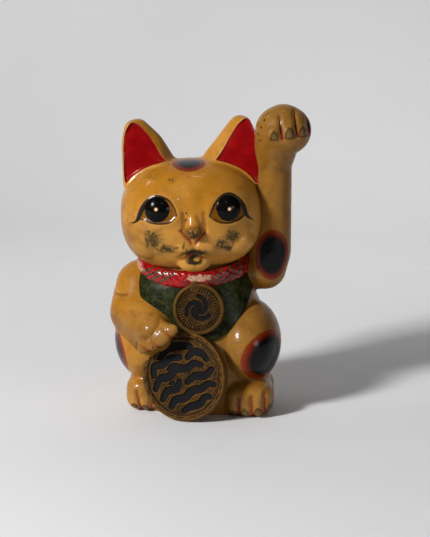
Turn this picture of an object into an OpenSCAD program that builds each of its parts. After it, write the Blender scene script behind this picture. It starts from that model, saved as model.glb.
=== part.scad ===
// Beckoning cat figurine: a hollow, lacquered figure with a coin slot in its back.
// +Z is up, the face looks along -Y, and the origin is on the underside of the base board.

/* [Torso] */
// Width of the torso across the hips
torso_w = 116; // [98:1:140]
// Depth of the belly, forwards from the middle
belly_d = 45; // [38:1:54]
// Depth of the back, backwards from the middle
back_d = 54; // [45:1:65]
// Height of the neck, where the head sits down
neck_h = 120; // [104:1:144]
// Wall of the hollow torso and head
wall = 7; // [5:0.5:8.5]

/* [Head] */
// Width of the head across the cheeks
head_w = 116; // [97:1:139]
// Depth of the head, nose to nape
head_d = 96; // [84:1:110]
// Height of the head without its ears
head_h = 91; // [80:1:108]
// Turn of the face towards its raised arm, in degrees
head_turn = 10; // [0:1:14]
// Roll of the head, in degrees
head_roll = 2; // [0:0.5:5]
// Height of the ears above the crown
ear_h = 32; // [26:1:38]
// Diameter of the glass eyes
eye_d = 21; // [17:0.5:25]

/* [Limbs] */
// Height of the thigh on each side
haunch_h = 70; // [58:1:82]
// Width of each hind foot
foot_w = 39; // [33:1:46]
// Height of each hind foot
foot_h = 29; // [24:1:34]
// Radius of the raised arm at its elbow
arm_r = 18; // [15:0.5:20]
// Length of the raised arm, elbow to middle of the paw
forearm_l = 115; // [96:1:138]
// Radius of the raised paw
paw_r = 20; // [17:0.5:24]
// Diameter of the wooden pegs that hold the arms
peg_d = 12; // [10:0.5:14]
// Diameter of the wooden peg that holds the head
neck_peg_d = 22; // [18:0.5:26]

/* [Ornaments] */
// Length of the coin, along its long axis
coin_l = 74; // [62:1:88]
// Width of the coin
coin_w = 68; // [57:1:80]
// Thickness of the coin at its rim
coin_t = 9; // [7:0.5:11]
// Width of the coin's rim
coin_rim = 4.5; // [3:0.5:6]
// Diameter of the medallion
medal_d = 42; // [35:1:50]
// Thickness of the medallion at its rim
medal_t = 7; // [5.5:0.5:9]
// Height of the collar band
collar_h = 14; // [11:0.5:17]
// Thickness of the collar band
collar_t = 10; // [8:0.5:12]
// Thickness of the bib
bib_t = 2; // [1.5:0.25:3]

/* [Money box] */
// Width of the coin slot
slot_w = 34; // [28:1:40]
// Height of the coin slot
slot_h = 5; // [4.8:0.1:6]
// Thickness of the base board
board_t = 6; // [5:0.5:8]
// Diameter of the stopper where it fills its hole
stopper_d = 30; // [24:1:34]
// Length of the stopper
stopper_l = 13; // [11:0.5:18]

/* [Hidden] */

// Fits
glue_gap = 0.15;
board_gap = 0.2;
stopper_gap = 0.05;
flange_gap = 0.3;

// Resolution of the free-form skins
ring_n = 32;
ball_n = 28;
band_n = 48;
bore_n = 64;

// Space that is larger than the whole figure
far = 400;

// The torso, from the ground up: height, width, belly and back, as shares of the sizes above
torso_rows = [
    [0.00, 0.95, 0.84, 0.93], [0.10, 0.99, 0.92, 0.97], [0.25, 1.00, 0.97, 1.00],
    [0.42, 1.00, 1.00, 1.00], [0.58, 0.98, 0.98, 0.94], [0.75, 0.95, 0.93, 0.85],
    [0.88, 0.87, 0.87, 0.76], [1.00, 0.74, 0.76, 0.66], [1.08, 0.60, 0.62, 0.56]
];
// Rows that the hollow inside follows
hollow_rows = [for (i = [2 : 6]) torso_rows[i]];
body_lean = 5;
seam_y = 3;
squareness = 0.85;

head_seat = 2.5;
head_at = [-7, -4, neck_h + head_h / 2 - head_seat];
head_squareness = 0.8;
head_seam_y = 4;

haunch_w = 27;
haunch_d = 39;
haunch_x = torso_w / 2 - 15;
haunch_y = -9;
haunch_z = foot_h + haunch_h / 2 - 6;

foot_x = torso_w / 2 - 14;
foot_y = 12 - belly_d;
foot_back = 8;
left_foot_set_back = 7;
foot_toe_in = [5, 1.5];

elbow = [torso_w / 2 - 1, 8, neck_h - 4];
wrist = elbow + [1, 0, forearm_l - 26];
wrist_r = arm_r - 2;
paw = elbow + [12, -11, forearm_l + 3];
raised_peg_at = [torso_w / 2 - 26, 14, neck_h - 8];
raised_peg_l = 26;

shoulder = [10 - torso_w / 2, -5, neck_h - 19];
shoulder_r = 22;
rest_elbow = [7.5 - torso_w / 2, -15, neck_h - 39];
rest_elbow_r = 23;
rest_wrist = [24 - torso_w / 2, 5 - belly_d, neck_h - 49];
rest_wrist_r = 18;
rest_paw = [26 - torso_w / 2, -4 - belly_d, neck_h - 47];
rest_paw_r = 14;
// Where the toes sit on each paw, from the middle of the paw
resting_toes = [[-7, -7, -12], [0, -10, -9.5], [10, -11, -4], [17, -9, 4]];
raised_toes = [[-6, -16, 0], [6, -15.5, 1], [15, -10, 1.5], [18.5, -2, 1]];
rest_peg_at = [26 - torso_w / 2, -9, neck_h - 20];
rest_peg_l = 24;

neck_peg_at = [-5, -2, neck_h - 22];
neck_peg_l = 42;

coin_tilt = 25;
coin_lean = 10;
coin_turn = -13;
coin_field = 2;
coin_reach = norm([coin_l * cos(coin_tilt), coin_w * sin(coin_tilt)]) / 2;
coin_at = [-3, -1 - belly_d, coin_reach * cos(coin_lean)];

medal_at = [6, 4.5 - belly_d, neck_h - 25.3];
medal_lean = 8;
medal_rim = 3;
medal_field = 1.2;
button_r = 5;
button_t = 7;
button_at = [-3, medal_d / 2 - 3, -0.5];

collar_at = [-5, -3, neck_h + 2.5];
collar_rx = 0.36 * torso_w;
collar_front = belly_d - 8;
collar_back = back_d - 20;
collar_slope = 0.2;

bib_w = 92;
bib_drop = 46;
bib_top = neck_h - 12;
bib_tuck = 7;
bib_x = -3;

slot_z = neck_h - 32;
stopper_y = 22;
stopper_flange = 2.5;
stopper_flange_t = 1.3;
stopper_lift = 0.6;

tail_r = 9;

eye_x = head_w / 4;
eye_z = 12;
eye_splay = 12;
eye_rise = 4;
eye_dome = 3.2;
eye_stem_r = eye_d / 2 - 4;
eye_stem_l = wall + 1;

// A power that keeps the sign of its base
function signed_pow(v, e) = sign(v) * pow(abs(v), e);

// One level ring of the torso, a rounded square that is deeper behind than in front
function torso_ring(row, inset, z) =
    let (lean = -body_lean * row[0] * row[0])
    [for (i = [0 : ring_n - 1])
        let (a = 360 * i / ring_n, c = signed_pow(cos(a), squareness), s = signed_pow(sin(a), squareness))
        [
            lean + c * (torso_w / 2 * row[1] - inset),
            s * ((s < 0 ? belly_d * row[2] : back_d * row[3]) - inset),
            z
        ]];

// The hollow starts as a straight pocket that takes the base board
function hollow_rings(inset) = concat(
    [torso_ring(torso_rows[0], inset, -1), torso_ring(torso_rows[0], inset, board_t + 0.5)],
    [for (row = hollow_rows) torso_ring(row, inset, row[0] * neck_h)]
);

// Radius of a superellipsoid's ring, and its height, at a latitude
function head_ring(t, inset) =
    let (
        level = signed_pow(cos(t), head_squareness),
        rx = (head_w / 2 - inset) * level,
        ry = (head_d / 2 - inset) * level,
        z = (head_h / 2 - inset) * signed_pow(sin(t), head_squareness)
    )
    [for (i = [0 : ring_n - 1])
        let (a = 360 * i / ring_n)
        [rx * signed_pow(cos(a), head_squareness), ry * signed_pow(sin(a), head_squareness), z]];

// How far in front of the head's middle its skin is
function face_depth(x, z) =
    let (e = 2 / head_squareness)
    head_d / 2 * pow(1 - pow(abs(x) / (head_w / 2), e) - pow(abs(z) / (head_h / 2), e), 1 / e);

// The corners of an ear, in the head's frame
function ear_inner(side) = [side * 0.19 * head_w, -7, head_h / 2 - 6];
function ear_outer(side) = [side * 0.45 * head_w, -5, head_h / 2 - 20];
function ear_tip(side) = [side * 0.415 * head_w, 0, head_h / 2 + ear_h - 3];

// A closed skin over a stack of rings
module skin(rings) {
    n = len(rings[0]);
    m = len(rings);
    bottom = [for (j = [0 : n - 1]) j];
    top = [for (j = [n - 1 : -1 : 0]) (m - 1) * n + j];
    sides = [for (i = [0 : m - 2], j = [0 : n - 1], k = [0, 1])
        let (a = i * n + j, b = i * n + (j + 1) % n)
        k == 0 ? [a, a + n, b] : [b, a + n, b + n]];
    polyhedron([for (ring = rings, p = ring) p], concat([bottom], sides, [top]));
}

// Free-form pieces are joined and cut as one faceted skin
module one_skin() {
    resize([0, 0, 0]) children();
}

module ball(at, r) {
    translate(at) sphere(r, $fn = ball_n);
}

module limb(a, ra, b, rb) {
    hull() {
        ball(a, ra);
        ball(b, rb);
    }
}

// Everything behind a level line across the figure, or in front of it
module behind(y) {
    translate([-far / 2, y, -far / 2]) cube(far);
}

module before(y) {
    translate([-far / 2, y - far, -far / 2]) cube(far);
}

module above_ground() {
    translate([-far / 2, -far / 2, 0]) cube(far);
}

module torso_form(grow = 0) {
    skin([for (row = torso_rows) torso_ring(row, -grow, row[0] * neck_h)]);
}

module torso_hollow() {
    skin(hollow_rings(wall));
}

module in_head_frame() {
    translate(head_at) rotate([0, -head_roll, head_turn]) children();
}

module head_form(inset = 0) {
    skin([for (t = [-84 : 12 : 84]) head_ring(t, inset)]);
}

module haunch_form(side) {
    translate([side * haunch_x, haunch_y, haunch_z]) rotate([7, side * 4, 0])
        scale([haunch_w, haunch_d, haunch_h / 2]) sphere(1, $fn = ring_n);
}

module foot_form(side) {
    toe_r = foot_h / 2;
    spread = foot_w / 2 - toe_r;
    y = foot_y + (side < 0 ? left_foot_set_back : 0);
    x = side * foot_x + foot_toe_in[side < 0 ? 0 : 1];
    intersection() {
        hull() {
            ball([x - spread, y, toe_r], toe_r);
            ball([x + spread, y, toe_r], toe_r);
            ball([x, foot_back, toe_r + 1], toe_r + 2);
        }
        above_ground();
    }
}

module raised_arm_form() {
    limb(elbow + [-14, 0, -2], arm_r - 2, elbow, arm_r);
    limb(elbow, arm_r, wrist, wrist_r);
    limb(wrist, wrist_r, paw - [3, 0, 0], paw_r);
    limb(paw - [3, 0, 0], paw_r, paw + [3, 0, 0], paw_r);
    for (at = raised_toes) ball(paw + at, 6.5);
}

module resting_arm_form() {
    limb(shoulder, shoulder_r, rest_elbow, rest_elbow_r);
    limb(rest_elbow, rest_elbow_r, rest_wrist, rest_wrist_r);
    limb(rest_wrist, rest_wrist_r, rest_paw, rest_paw_r);
    for (at = resting_toes) ball(rest_paw + at, 6.5);
}

module peg(at, length, d) {
    translate(at) rotate([0, 90, 0]) cylinder(d = d, h = length, $fn = bore_n);
}

module neck_peg_form(gap) {
    translate(neck_peg_at) cylinder(d = neck_peg_d + 2 * gap, h = neck_peg_l, $fn = bore_n);
}

module collar_form() {
    rings = [for (i = [0 : band_n])
        let (a = 360 * i / band_n, reach = sin(a) < 0 ? collar_front : collar_back)
        [for (k = [0 : 11])
            let (b = 30 * k, out = 1 + collar_t / 2 * cos(b) / collar_rx)
            let (x = collar_rx * cos(a) * out, y = reach * sin(a) * out)
            [x, y, collar_slope * y + collar_h / 2 * sin(b)]]];
    n = 12;
    faces = [for (i = [0 : band_n - 1], k = [0 : n - 1], h = [0, 1])
        let (a = i * n + k, b = i * n + (k + 1) % n)
        let (c = ((i + 1) % band_n) * n + k, d = ((i + 1) % band_n) * n + (k + 1) % n)
        h == 0 ? [a, b, c] : [b, d, c]];
    translate(collar_at)
        polyhedron([for (i = [0 : band_n - 1], p = rings[i]) p], faces);
}

// The bib's outline, seen from the front
module bib_form() {
    intersection() {
        torso_form(bib_t);
        translate([bib_x, 0, bib_top]) rotate([90, 0, 0]) linear_extrude(far) intersection() {
            scale([bib_w / 2, bib_drop]) circle(1, $fn = bore_n);
            translate([-bib_w / 2, -bib_drop]) square([bib_w, bib_drop + bib_tuck]);
        }
    }
}

module in_coin_frame() {
    translate(coin_at) rotate([0, 0, coin_turn]) rotate([90 - coin_lean, 0, 0])
        rotate([0, 0, coin_tilt]) children();
}

module coin_outline(inset) {
    scale([coin_w / 2 - inset, coin_l / 2 - inset]) circle(1, $fn = 96);
}

module coin_seat() {
    in_coin_frame() translate([0, 0, -glue_gap]) linear_extrude(coin_t + far / 4)
        coin_outline(-glue_gap);
}

// The coin's own body, as a cutter for what laps over its face
module coin_body() {
    in_coin_frame() translate([0, 0, -glue_gap]) linear_extrude(coin_t + 2 * glue_gap)
        coin_outline(-glue_gap);
}

module in_medal_frame() {
    translate(medal_at) rotate([90 - medal_lean, 0, 0]) children();
}

module medal_seat() {
    in_medal_frame() {
        translate([0, 0, -glue_gap]) cylinder(d = medal_d + 2 * glue_gap, h = far / 4, $fn = 96);
        button_form(glue_gap, far / 4);
    }
}

// The button hangs over the top of the medallion's rim
module button_form(gap, length) {
    translate(button_at - [0, 0, gap]) cylinder(r = button_r + gap, h = length, $fn = bore_n);
}

module torso_shell() {
    difference() {
        torso_form();
        torso_hollow();
        in_head_frame() head_form();
        neck_peg_form(glue_gap);
        coin_seat();
        medal_seat();
    }
}

module torso_front_shell() {
    color("burlywood") one_skin() difference() {
        torso_shell();
        behind(seam_y);
        peg(rest_peg_at - [rest_peg_l, 0, 0], rest_peg_l, peg_d + 2 * glue_gap);
    }
}

module torso_back_shell() {
    color("burlywood") one_skin() difference() {
        torso_shell();
        before(seam_y);
        translate([-slot_w / 2, 0, slot_z - slot_h / 2]) cube([slot_w, far, slot_h]);
        peg(raised_peg_at, raised_peg_l, peg_d + 2 * glue_gap);
    }
}

module base_board() {
    color("tan") difference() {
        linear_extrude(board_t)
            polygon([for (p = torso_ring(torso_rows[0], wall + board_gap, 0)) [p[0], p[1]]]);
        translate([0, stopper_y, -1]) cylinder(d = stopper_d, h = board_t + 2, $fn = bore_n);
        translate([0, stopper_y, -1])
            cylinder(
                d = stopper_d + 2 * (stopper_flange + 2 * flange_gap),
                h = 1 + stopper_lift + stopper_flange_t + flange_gap,
                $fn = bore_n
            );
    }
}

module stopper() {
    color("peru") translate([0, stopper_y, stopper_lift]) {
        cylinder(d = stopper_d + 2 * stopper_flange, h = stopper_flange_t, $fn = bore_n);
        cylinder(d = stopper_d - 2 * stopper_gap, h = stopper_l, $fn = bore_n);
    }
}

module tail() {
    color("burlywood") one_skin() difference() {
        union() {
            limb([14, back_d - 2, tail_r + 2], tail_r, [-8, back_d + 2, tail_r + 4], tail_r);
            limb([-8, back_d + 2, tail_r + 4], tail_r, [-28, back_d - 6, tail_r + 9], tail_r - 2);
        }
        torso_form();
    }
}

module haunch(side) {
    color("burlywood") one_skin() difference() {
        haunch_form(side);
        torso_form();
        coin_seat();
    }
}

module left_haunch() {
    haunch(-1);
}

module right_haunch() {
    haunch(1);
}

module foot(side) {
    color("wheat") one_skin() difference() {
        foot_form(side);
        torso_form();
        haunch_form(side);
        coin_seat();
    }
}

module left_foot() {
    foot(-1);
}

module right_foot() {
    foot(1);
}

module resting_arm() {
    color("burlywood") one_skin() difference() {
        resting_arm_form();
        torso_form();
        in_head_frame() head_form();
        collar_form();
        bib_form();
        haunch_form(-1);
        coin_body();
        peg(rest_peg_at - [rest_peg_l, 0, 0], rest_peg_l, peg_d + 2 * glue_gap);
    }
}

module resting_arm_peg() {
    color("tan") peg(rest_peg_at - [rest_peg_l - glue_gap, 0, 0], rest_peg_l - glue_gap, peg_d);
}

module raised_arm() {
    color("burlywood") one_skin() difference() {
        raised_arm_form();
        torso_form();
        in_head_frame() head_form();
        collar_form();
        haunch_form(1);
        bib_form();
        in_head_frame() ear_form(1);
        peg(raised_peg_at, raised_peg_l, peg_d + 2 * glue_gap);
    }
}

module raised_arm_peg() {
    color("tan") peg(raised_peg_at, raised_peg_l - glue_gap, peg_d);
}

module head_shell() {
    difference() {
        head_form();
        head_form(wall);
    }
}

module in_eye_frame(side) {
    translate([side * eye_x, 1.2 - face_depth(eye_x, eye_z), eye_z])
        rotate([90 - eye_rise, 0, side * eye_splay]) children();
}

module eye_seat(side) {
    in_eye_frame(side) {
        cylinder(d = eye_d + 2 * glue_gap, h = far / 8, $fn = bore_n);
        translate([0, 0, -far / 16]) cylinder(r = eye_stem_r + glue_gap, h = far / 16, $fn = bore_n);
    }
}

module head_front_shell() {
    color("burlywood") one_skin() difference() {
        in_head_frame() difference() {
            head_shell();
            behind(head_seam_y);
            eye_seat(-1);
            eye_seat(1);
        }
        neck_peg_form(glue_gap);
    }
}

module head_back_shell() {
    color("burlywood") one_skin() difference() {
        in_head_frame() difference() {
            head_shell();
            before(head_seam_y);
        }
        neck_peg_form(glue_gap);
    }
}

module neck_peg() {
    color("tan") neck_peg_form(0);
}

// The wedge of an ear: two corners at its foot, its tip, and a thick nape behind
module ear_form(side) {
    hull() {
        ball(ear_inner(side), 4.5);
        ball(ear_outer(side), 4.5);
        ball(ear_tip(side), 3);
        ball(ear_tip(side) + [-side * 5, 7, -4.5], 9.5);
        ball([side * 0.207 * head_w, 7, head_h / 2 + 2.5], 9);
        ball([side * 0.23 * head_w, 14, head_h / 2 - 9], 8.5);
    }
}

// One ear, hollow in front, that stands on the head
module ear(side) {
    color("burlywood") one_skin() in_head_frame() difference() {
        ear_form(side);
        hull() {
            ball(ear_inner(side) + [side * 5, -5, 2], 3);
            ball(ear_outer(side) + [-side, -5, 4], 3);
            ball(ear_tip(side) + [0, -4, -9], 2);
        }
        head_form();
    }
}

module left_ear() {
    ear(-1);
}

module right_ear() {
    ear(1);
}

// A glass cabochon: a shallow dome on a stem that plugs into the face
module eye(side) {
    r = eye_d / 2;
    dome_r = (r * r + eye_dome * eye_dome) / (2 * eye_dome);
    sweep = asin(r / dome_r);
    profile = concat(
        [[0, -eye_stem_l], [eye_stem_r, -eye_stem_l], [eye_stem_r, glue_gap], [r, glue_gap], [r, 1]],
        [for (i = [1 : 8]) let (a = sweep * (1 - i / 8)) [dome_r * sin(a), dome_r * (cos(a) - cos(sweep)) + 1]]
    );
    color("black") in_head_frame() in_eye_frame(side) rotate_extrude($fn = bore_n) polygon(profile);
}

module left_eye() {
    eye(-1);
}

module right_eye() {
    eye(1);
}

module collar() {
    color("firebrick") one_skin() difference() {
        collar_form();
        torso_form();
        in_head_frame() head_form();
        medal_seat();
    }
}

module bib() {
    color("darkolivegreen") one_skin() difference() {
        bib_form();
        torso_form();
        collar_form();
        in_head_frame() head_form();
        haunch_form(-1);
        haunch_form(1);
        behind(seam_y - 6);
        medal_seat();
        coin_seat();
    }
}

module medallion() {
    color("darkgoldenrod") in_medal_frame() difference() {
        cylinder(d = medal_d, h = medal_t, $fn = 96);
        translate([0, 0, medal_t - medal_field])
            cylinder(d = medal_d - 2 * medal_rim, h = medal_t, $fn = 96);
        button_form(glue_gap, far / 4);
    }
}

module medallion_button() {
    color("darkgoldenrod") in_medal_frame() button_form(0, button_t);
}

module koban_coin() {
    color("darkgoldenrod") in_coin_frame() difference() {
        linear_extrude(coin_t) coin_outline(0);
        translate([0, 0, coin_t - coin_field]) linear_extrude(coin_t) coin_outline(coin_rim);
    }
}

torso_front_shell();
torso_back_shell();
base_board();
stopper();
tail();
left_haunch();
right_haunch();
left_foot();
right_foot();
resting_arm();
resting_arm_peg();
raised_arm();
raised_arm_peg();
head_front_shell();
head_back_shell();
neck_peg();
left_ear();
right_ear();
left_eye();
right_eye();
collar();
bib();
medallion();
medallion_button();
koban_coin();
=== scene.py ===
"""Beckoning cat figurine: a moulded body under amber lacquer yellowed with age, with painted eyes and gilt
relief.

The head and the body are each sculpted as one skin, painted with fields on their points, and cut into the
CAD's pieces. Forms are worked out in millimetres: x to the viewer's right, y to the back, z up.
"""

import math

import bmesh
import bpy
import numpy as np
from mathutils import Matrix, Vector


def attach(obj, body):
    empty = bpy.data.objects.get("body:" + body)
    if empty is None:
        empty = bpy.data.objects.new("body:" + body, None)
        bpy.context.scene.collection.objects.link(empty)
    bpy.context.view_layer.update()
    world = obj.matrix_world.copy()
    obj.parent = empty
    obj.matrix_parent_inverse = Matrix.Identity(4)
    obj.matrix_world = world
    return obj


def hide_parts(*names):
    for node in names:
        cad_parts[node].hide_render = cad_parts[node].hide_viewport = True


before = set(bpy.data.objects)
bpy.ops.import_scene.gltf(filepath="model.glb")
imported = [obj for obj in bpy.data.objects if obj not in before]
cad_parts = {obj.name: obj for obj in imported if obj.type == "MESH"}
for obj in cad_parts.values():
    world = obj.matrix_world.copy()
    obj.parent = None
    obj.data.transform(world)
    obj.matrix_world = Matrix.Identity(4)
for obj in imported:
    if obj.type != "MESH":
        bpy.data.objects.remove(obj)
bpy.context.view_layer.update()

MM = 0.001
REACH = 3.0  # painted areas are stored as mm inside their edge plus this


# ---------------------------------------------------------------- forms: (points in mm, faces)
def turned(axis, degrees):
    return np.array(Matrix.Rotation(math.radians(degrees), 3, axis))


def form_of(bm):
    bmesh.ops.recalc_face_normals(bm, faces=bm.faces)
    bm.verts.index_update()
    points = np.array([v.co[:] for v in bm.verts])
    faces = [[v.index for v in f.verts] for f in bm.faces]
    bm.free()
    return points, faces


def placed(form, at=(0, 0, 0), matrix=None):
    points = form[0] if matrix is None else form[0] @ np.asarray(matrix).T
    return points + np.asarray(at, float), form[1]


def shaped_ball(half, power=2.0, around=96, up=48):
    """A ball, or with a power above 2 a squarer one, of the given half sizes"""
    bm = bmesh.new()
    bmesh.ops.create_uvsphere(bm, u_segments=around, v_segments=up, radius=1)
    points, faces = form_of(bm)
    points /= (np.abs(points) ** power).sum(1)[:, None] ** (1 / power)
    return points * np.asarray(half, float), faces


def hull(balls):
    """The skin stretched over balls given as (place, radius)"""
    bm = bmesh.new()
    bmesh.ops.create_icosphere(bm, subdivisions=4, radius=1)
    unit = np.array([v.co[:] for v in bm.verts])
    bm.clear()
    for at, radius in balls:
        for p in unit * radius + np.asarray(at, float):
            bm.verts.new(p)
    bmesh.ops.convex_hull(bm, input=bm.verts)
    bmesh.ops.delete(bm, geom=[v for v in bm.verts if not v.link_faces], context="VERTS")
    return form_of(bm)


def lofted(rings):
    """A closed skin through rings that all hold the same number of points"""
    rings = np.asarray(rings, float)
    m, n = rings.shape[:2]
    points = np.vstack([rings.reshape(-1, 3), rings[0].mean(0), rings[-1].mean(0)])
    faces = [[a * n + k, a * n + (k + 1) % n, (a + 1) * n + (k + 1) % n, (a + 1) * n + k]
             for a in range(m - 1) for k in range(n)]
    faces += [[(k + 1) % n, k, m * n] for k in range(n)]
    faces += [[(m - 1) * n + k, (m - 1) * n + (k + 1) % n, m * n + 1] for k in range(n)]
    return points, faces


def revolved(profile, steps=96):
    """A closed turned form about Z; the profile runs from the axis back to the axis"""
    bm = bmesh.new()
    chain = [bm.verts.new((r, 0, z)) for r, z in profile]
    edges = [bm.edges.new(pair) for pair in zip(chain, chain[1:])]
    bmesh.ops.spin(bm, geom=chain + edges, cent=(0, 0, 0), axis=(0, 0, 1), angle=2 * math.pi, steps=steps)
    bmesh.ops.remove_doubles(bm, verts=bm.verts, dist=1e-4)
    return form_of(bm)


def prism(outline, low, high):
    """An upright prism on a closed outline in x and z, between two values of y"""
    return lofted([[(x, y, z) for x, z in outline] for y in (low, high)])


def merged(forms):
    points, faces, start = [], [], 0
    for p, f in forms:
        points.append(p)
        faces += [[i + start for i in face] for face in f]
        start += len(p)
    return np.vstack(points), faces


# ---------------------------------------------------------------- meshes
def make(name, form):
    bm = bmesh.new()
    verts = [bm.verts.new(p) for p in form[0] * MM]
    for face in form[1]:
        bm.faces.new([verts[i] for i in face])
    bmesh.ops.recalc_face_normals(bm, faces=bm.faces)
    mesh = bpy.data.meshes.new(name)
    bm.to_mesh(mesh)
    bm.free()
    made = bpy.data.objects.new(name, mesh)
    bpy.context.scene.collection.objects.link(made)
    return made


def discard(*objects):
    for o in objects:
        bpy.data.objects.remove(o)


def bake(o):
    mesh = bpy.data.meshes.new_from_object(o.evaluated_get(bpy.context.evaluated_depsgraph_get()))
    o.modifiers.clear()
    o.data = mesh
    return o


def remeshed(o, voxel):
    m = o.modifiers.new("skin", "REMESH")
    m.mode, m.voxel_size = "VOXEL", voxel * MM
    return bake(o)


def joined(o, other, operation):
    m = o.modifiers.new("cut", "BOOLEAN")
    m.solver, m.operation, m.object = "MANIFOLD", operation, other
    return bake(o)


def copied(o, name):
    made = bpy.data.objects.new(name, o.data.copy())
    bpy.context.scene.collection.objects.link(made)
    return made


def places(o):
    out = np.empty(len(o.data.vertices) * 3, np.float32)
    o.data.vertices.foreach_get("co", out)
    return out.reshape(-1, 3).astype(float) / MM


def set_places(o, points):
    o.data.vertices.foreach_set("co", (points * MM).astype(np.float32).ravel())
    o.data.update()


def normals(o):
    out = np.empty(len(o.data.vertices) * 3, np.float32)
    o.data.vertices.foreach_get("normal", out)
    return out.reshape(-1, 3).astype(float)


def links(o):
    out = np.empty(len(o.data.edges) * 2, np.int32)
    o.data.edges.foreach_get("vertices", out)
    return out.reshape(-1, 2)


def relaxed(points, edges, times, share=0.5, weight=None):
    """Points drawn towards the middle of their neighbours"""
    n = len(points)
    a, b = edges.T
    count = np.bincount(edges.ravel(), minlength=n)[:, None]
    for _ in range(times):
        total = np.stack([np.bincount(a, along[b], n) + np.bincount(b, along[a], n) for along in points.T], 1)
        step = (total / count - points) * share
        points = points + (step if weight is None else step * weight[:, None])
    return points


def keep_field(o, name, values):
    field = o.data.attributes.get(name) or o.data.attributes.new(name, "FLOAT", "POINT")
    field.data.foreach_set("value", np.asarray(values, np.float32))


def smooth_shaded(o, degrees=40):
    o.data.polygons.foreach_set("use_smooth", np.ones(len(o.data.polygons), bool))
    o.data.set_sharp_from_angle(angle=math.radians(degrees))


# ---------------------------------------------------------------- distances in mm
def eased(value, low, high):
    t = np.clip((value - low) / (high - low), 0, 1)
    return t * t * (3 - 2 * t)


def stroke_gap(u, v, stroke):
    """Distance outside a stroke given as (u, v, half width) points; negative inside"""
    pts = np.asarray(stroke, float)
    best = np.full(u.shape, 99.0)
    for a, b in zip(pts[:-1], pts[1:]):
        d = (b - a)[:2]
        t = np.clip(((u - a[0]) * d[0] + (v - a[1]) * d[1]) / max(d @ d, 1e-9), 0, 1)
        best = np.minimum(best, np.hypot(u - a[0] - t * d[0], v - a[1] - t * d[1]) - a[2] - (b[2] - a[2]) * t)
    return best


def strokes_gap(u, v, strokes):
    return np.min([stroke_gap(u, v, s) for s in strokes], axis=0)


def area_gap(u, v, outline):
    """Distance outside a closed outline; negative inside"""
    pts = np.asarray(outline, float)
    gap = np.full(u.shape, 99.0)
    inside = np.zeros(u.shape, bool)
    for a, b in zip(pts, np.roll(pts, -1, 0)):
        d = b - a
        t = np.clip(((u - a[0]) * d[0] + (v - a[1]) * d[1]) / max(d @ d, 1e-9), 0, 1)
        gap = np.minimum(gap, np.hypot(u - a[0] - t * d[0], v - a[1] - t * d[1]))
        if a[1] != b[1]:
            inside ^= ((a[1] > v) != (b[1] > v)) & (u < (b[0] - a[0]) * (v - a[1]) / (b[1] - a[1]) + a[0])
    return np.where(inside, -gap, gap)


def oval_gap(u, v, at, half):
    return (np.sqrt(((u - at[0]) / half[0]) ** 2 + ((v - at[1]) / half[1]) ** 2) - 1) * min(half)


def round_share(points, at, half):
    """1 on an ellipsoid's surface, 0 at its middle"""
    return np.sqrt((((points - np.asarray(at, float)) / np.asarray(half, float)) ** 2).sum(1))


def curve_through(points, steps=8, closed=False):
    """A smooth line through the given points"""
    pts = np.asarray(points, float)
    n = len(pts)
    out = []
    for i in range(n if closed else n - 1):
        p = [pts[(i + k) % n] if closed else pts[min(max(i + k, 0), n - 1)] for k in (-1, 0, 1, 2)]
        for t in np.arange(steps) / steps:
            out.append(0.5 * (2 * p[1] + (p[2] - p[0]) * t + (2 * p[0] - 5 * p[1] + 4 * p[2] - p[3]) * t * t
                              + (3 * p[1] - p[0] - 3 * p[2] + p[3]) * t ** 3))
    if not closed:
        out.append(pts[-1])
    return np.array(out)


def dip(gap, reach):
    """1 on a painted or carved line, falling softly to 0 round it"""
    return np.exp(-(np.maximum(gap, 0) / reach) ** 2)


# ---------------------------------------------------------------- sizes shared with the CAD, in mm
TORSO_W, BELLY_D, BACK_D, NECK_H, WALL, SEAM_Y, LEAN = 116, 45, 54, 120, 7, 3, 5
TORSO_ROWS = [(0, .95, .84, .93), (.10, .99, .92, .97), (.25, 1, .97, 1), (.42, 1, 1, 1),
              (.58, .98, .98, .94), (.75, .95, .93, .85), (.88, .87, .87, .76), (1, .74, .76, .66),
              (1.08, .60, .62, .56)]  # share of the neck's height, and of the width, belly and back there
WAIST_IN, WAIST_AT, WAIST_TALL = 4.5, .84, .15  # the torso is slimmer under the raised arm
HEAD_AT, HEAD_HALF, HEAD_POWER, HEAD_SEAM = np.array([-7.0, -4, 163]), (58, 48, 45.5), 2.5, 4
HEAD_TURN = turned("Z", 10) @ turned("Y", -2)
SIDES = {"left": -1, "right": 1}


def in_head(points):
    return (points - HEAD_AT) @ HEAD_TURN


def face_depth(x, z):
    room = 1 - (np.abs(x) / HEAD_HALF[0]) ** HEAD_POWER - (np.abs(z) / HEAD_HALF[2]) ** HEAD_POWER
    return HEAD_HALF[1] * np.maximum(room, 0.001) ** (1 / HEAD_POWER)


def skull_gap(points):
    """Roughly how far points in the head's frame lie outside the skull"""
    share = (np.abs(points / np.array(HEAD_HALF)) ** HEAD_POWER).sum(1) ** (1 / HEAD_POWER)
    return HEAD_HALF[1] * (share - 1)


def torso_form(grow=0.0, rows=tuple(TORSO_ROWS), squareness=0.85, around=180):
    fine = curve_through(rows, 5)
    rings = []
    a = np.linspace(0, 2 * math.pi, around, endpoint=False)
    c, s = [np.sign(w) * np.abs(w) ** squareness for w in (np.cos(a), np.sin(a))]
    for share, width, belly, back in fine:
        waist = WAIST_IN * math.exp(-((share - WAIST_AT) / WAIST_TALL) ** 2) * np.maximum(c, 0)
        x = -LEAN * share ** 2 + c * (TORSO_W / 2 * width + grow) - waist
        y = s * np.where(s < 0, BELLY_D * belly + grow, BACK_D * back + grow)
        rings.append(np.stack([x, y, np.full(around, share * NECK_H)], 1))
    return lofted(rings)


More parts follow.
